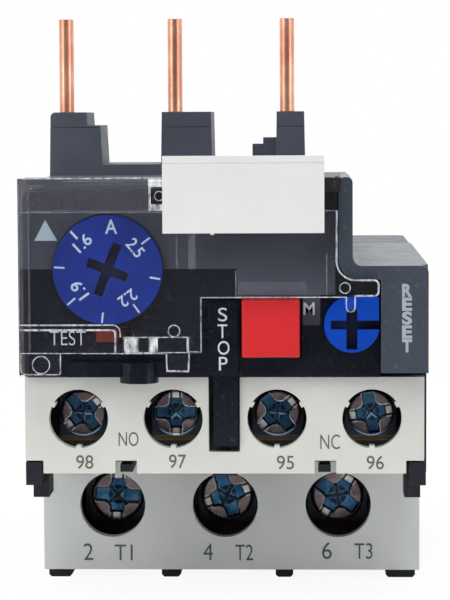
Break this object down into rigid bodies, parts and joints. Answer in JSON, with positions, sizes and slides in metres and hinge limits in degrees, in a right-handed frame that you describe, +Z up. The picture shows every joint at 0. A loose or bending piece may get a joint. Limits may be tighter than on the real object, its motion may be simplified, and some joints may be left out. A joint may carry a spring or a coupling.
{
  "type": "thermal overload relay",
  "caption": "Plug-in thermal overload relay with a setting dial, stop and reset buttons, clear hinged cover, screw terminals and copper pins.",
  "frame": {"origin": "middle of the width and of the depth, on the resting plane of the feet", "axes": "+X to the right across the front, +Y from the front to the back, +Z up along the plug-in pins"},
  "size_m": [0.045, 0.07, 0.0673],
  "materials": {
    "black_plastic": "matt moulded",
    "panel_black": "satin moulded",
    "slate_plastic": "matt moulded",
    "dark_grey_plate": "matt",
    "frame_grey": "matt moulded",
    "cream_plastic": "fine grain",
    "grey_plastic": "fine grain",
    "clear_plastic": "polished",
    "white_plastic": "matt",
    "dial_blue": "satin",
    "knob_blue": "satin",
    "button_red": "fine grain",
    "slider_red": "matt",
    "copper": "drawn",
    "brass": "rolled",
    "zinc_steel": "zinc plated",
    "bimetal": "rolled",
    "spring_steel": "bright",
    "mechanism_white": "moulded"
  },
  "bodies": {
    "root": {"base_housing": "black_plastic", "pin_housing": "slate_plastic", "mechanism_housing": "black_plastic", "front_panel": "panel_black", "marking_plate": "dark_grey_plate", "side_frame": "frame_grey", "aux_terminal_cover": "cream_plastic", "power_terminal_cover": "grey_plastic", "hinge_pin": "spring_steel", "lever_pin": "spring_steel", "stop_spring": "spring_steel", "reset_spring": "spring_steel", "test_spring": "spring_steel", "pin_1": "copper", "bimetal_strip_1": "bimetal", "heater_winding_1": "bimetal", "load_terminal_1": "brass", "pin_2": "copper", "bimetal_strip_2": "bimetal", "heater_winding_2": "bimetal", "load_terminal_2": "brass", "pin_3": "copper", "bimetal_strip_3": "bimetal", "heater_winding_3": "bimetal", "load_terminal_3": "brass", "aux_strip_98": "brass", "aux_strip_97": "brass", "aux_strip_95": "brass", "aux_strip_96": "brass"},
    "cover": {"clear_cover": "clear_plastic", "label_plate": "white_plastic"},
    "dial": {"setting_dial": "dial_blue", "dial_cam": "mechanism_white"},
    "stop": {"stop_button": "button_red"},
    "reset": {"reset_stem": "mechanism_white"},
    "knob": {"mode_knob": "knob_blue"},
    "test": {"test_slider": "slider_red"},
    "lever": {"trip_lever": "mechanism_white", "compensating_strip": "bimetal"},
    "bar": {"trip_bar": "mechanism_white"},
    "carrier": {"contact_carrier": "mechanism_white", "bridge_open": "copper", "bridge_closed": "copper"},
    "clamp_t1": {"power_clamp_1": "zinc_steel"},
    "screw_t1": {"power_screw_1": "zinc_steel"},
    "clamp_t2": {"power_clamp_2": "zinc_steel"},
    "screw_t2": {"power_screw_2": "zinc_steel"},
    "clamp_t3": {"power_clamp_3": "zinc_steel"},
    "screw_t3": {"power_screw_3": "zinc_steel"},
    "clamp_98": {"aux_clamp_98": "zinc_steel"},
    "screw_98": {"aux_screw_98": "zinc_steel"},
    "clamp_97": {"aux_clamp_97": "zinc_steel"},
    "screw_97": {"aux_screw_97": "zinc_steel"},
    "clamp_95": {"aux_clamp_95": "zinc_steel"},
    "screw_95": {"aux_screw_95": "zinc_steel"},
    "clamp_96": {"aux_clamp_96": "zinc_steel"},
    "screw_96": {"aux_screw_96": "zinc_steel"}
  },
  "joints": [
    {"name": "cover_hinge", "type": "hinge", "parent": "root", "child": "cover", "pos_m": [0, -0.011, 0.0469], "axis": [-1, 0, 0], "range_deg": [0, 95]},
    {"name": "dial_turn", "type": "hinge", "parent": "root", "child": "dial", "pos_m": [-0.0128, -0.03, 0.03835], "axis": [0, 1, 0], "range_deg": [0, 264]},
    {"name": "stop_push", "type": "slide", "parent": "root", "child": "stop", "axis": [0, 1, 0], "range_m": [0, 0.0025], "stiffness_N_per_m": 400, "deforming": ["stop_spring"]},
    {"name": "reset_push", "type": "slide", "parent": "root", "child": "reset", "axis": [0, 1, 0], "range_m": [0, 0.0013], "stiffness_N_per_m": 400, "deforming": ["reset_spring"]},
    {"name": "mode_turn", "type": "hinge", "parent": "reset", "child": "knob", "pos_m": [0.0141, -0.031, 0.0323], "axis": [0, -1, 0], "range_deg": [0, 90]},
    {"name": "test_slide", "type": "slide", "parent": "root", "child": "test", "axis": [1, 0, 0], "range_m": [0, 0.0018], "stiffness_N_per_m": 200, "deforming": ["test_spring"]},
    {"name": "trip_turn", "type": "hinge", "parent": "root", "child": "lever", "pos_m": [0.0175, -0.013, 0.032], "axis": [0, 0, -1], "range_deg": [0, 5.5]},
    {"name": "bar_slide", "type": "slide", "parent": "root", "child": "bar", "axis": [1, 0, 0], "range_m": [0, 0.0014]},
    {"name": "carrier_slide", "type": "slide", "parent": "root", "child": "carrier", "axis": [0, 1, 0], "range_m": [0, 0.0015]},
    {"name": "clamp_lift_t1", "type": "slide", "parent": "root", "child": "clamp_t1", "axis": [0, -1, 0], "range_m": [0, 0.00194]},
    {"name": "screw_turn_t1", "type": "hinge", "parent": "clamp_t1", "child": "screw_t1", "pos_m": [-0.0142, -0.003, 0.00885], "axis": [0, -1, 0], "range_deg": [0, 1000]},
    {"name": "clamp_lift_t2", "type": "slide", "parent": "root", "child": "clamp_t2", "axis": [0, -1, 0], "range_m": [0, 0.00194]},
    {"name": "screw_turn_t2", "type": "hinge", "parent": "clamp_t2", "child": "screw_t2", "pos_m": [-0.0007, -0.003, 0.00885], "axis": [0, -1, 0], "range_deg": [0, 1000]},
    {"name": "clamp_lift_t3", "type": "slide", "parent": "root", "child": "clamp_t3", "axis": [0, -1, 0], "range_m": [0, 0.00194]},
    {"name": "screw_turn_t3", "type": "hinge", "parent": "clamp_t3", "child": "screw_t3", "pos_m": [0.0128, -0.003, 0.00885], "axis": [0, -1, 0], "range_deg": [0, 1000]},
    {"name": "clamp_lift_98", "type": "slide", "parent": "root", "child": "clamp_98", "axis": [0, -1, 0], "range_m": [0, 0.0018]},
    {"name": "screw_turn_98", "type": "hinge", "parent": "clamp_98", "child": "screw_98", "pos_m": [-0.0164, -0.022, 0.0215], "axis": [0, -1, 0], "range_deg": [0, 1080.5]},
    {"name": "clamp_lift_97", "type": "slide", "parent": "root", "child": "clamp_97", "axis": [0, -1, 0], "range_m": [0, 0.0018]},
    {"name": "screw_turn_97", "type": "hinge", "parent": "clamp_97", "child": "screw_97", "pos_m": [-0.0058, -0.022, 0.0215], "axis": [0, -1, 0], "range_deg": [0, 1080.5]},
    {"name": "clamp_lift_95", "type": "slide", "parent": "root", "child": "clamp_95", "axis": [0, -1, 0], "range_m": [0, 0.0018]},
    {"name": "screw_turn_95", "type": "hinge", "parent": "clamp_95", "child": "screw_95", "pos_m": [0.0058, -0.022, 0.0215], "axis": [0, -1, 0], "range_deg": [0, 1080.5]},
    {"name": "clamp_lift_96", "type": "slide", "parent": "root", "child": "clamp_96", "axis": [0, -1, 0], "range_m": [0, 0.0018]},
    {"name": "screw_turn_96", "type": "hinge", "parent": "clamp_96", "child": "screw_96", "pos_m": [0.0164, -0.022, 0.0215], "axis": [0, -1, 0], "range_deg": [0, 1080.5]}
  ],
  "couplings": [
    {"joint": "trip_turn", "follows": "bar_slide", "rad_per_m": 68.4},
    {"joint": "carrier_slide", "follows": "bar_slide", "ratio": 1.048},
    {"joint": "screw_turn_t1", "follows": "clamp_lift_t1", "rad_per_m": 8976},
    {"joint": "screw_turn_t2", "follows": "clamp_lift_t2", "rad_per_m": 8976},
    {"joint": "screw_turn_t3", "follows": "clamp_lift_t3", "rad_per_m": 8976},
    {"joint": "screw_turn_98", "follows": "clamp_lift_98", "rad_per_m": 10472},
    {"joint": "screw_turn_97", "follows": "clamp_lift_97", "rad_per_m": 10472},
    {"joint": "screw_turn_95", "follows": "clamp_lift_95", "rad_per_m": 10472},
    {"joint": "screw_turn_96", "follows": "clamp_lift_96", "rad_per_m": 10472}
  ]
}
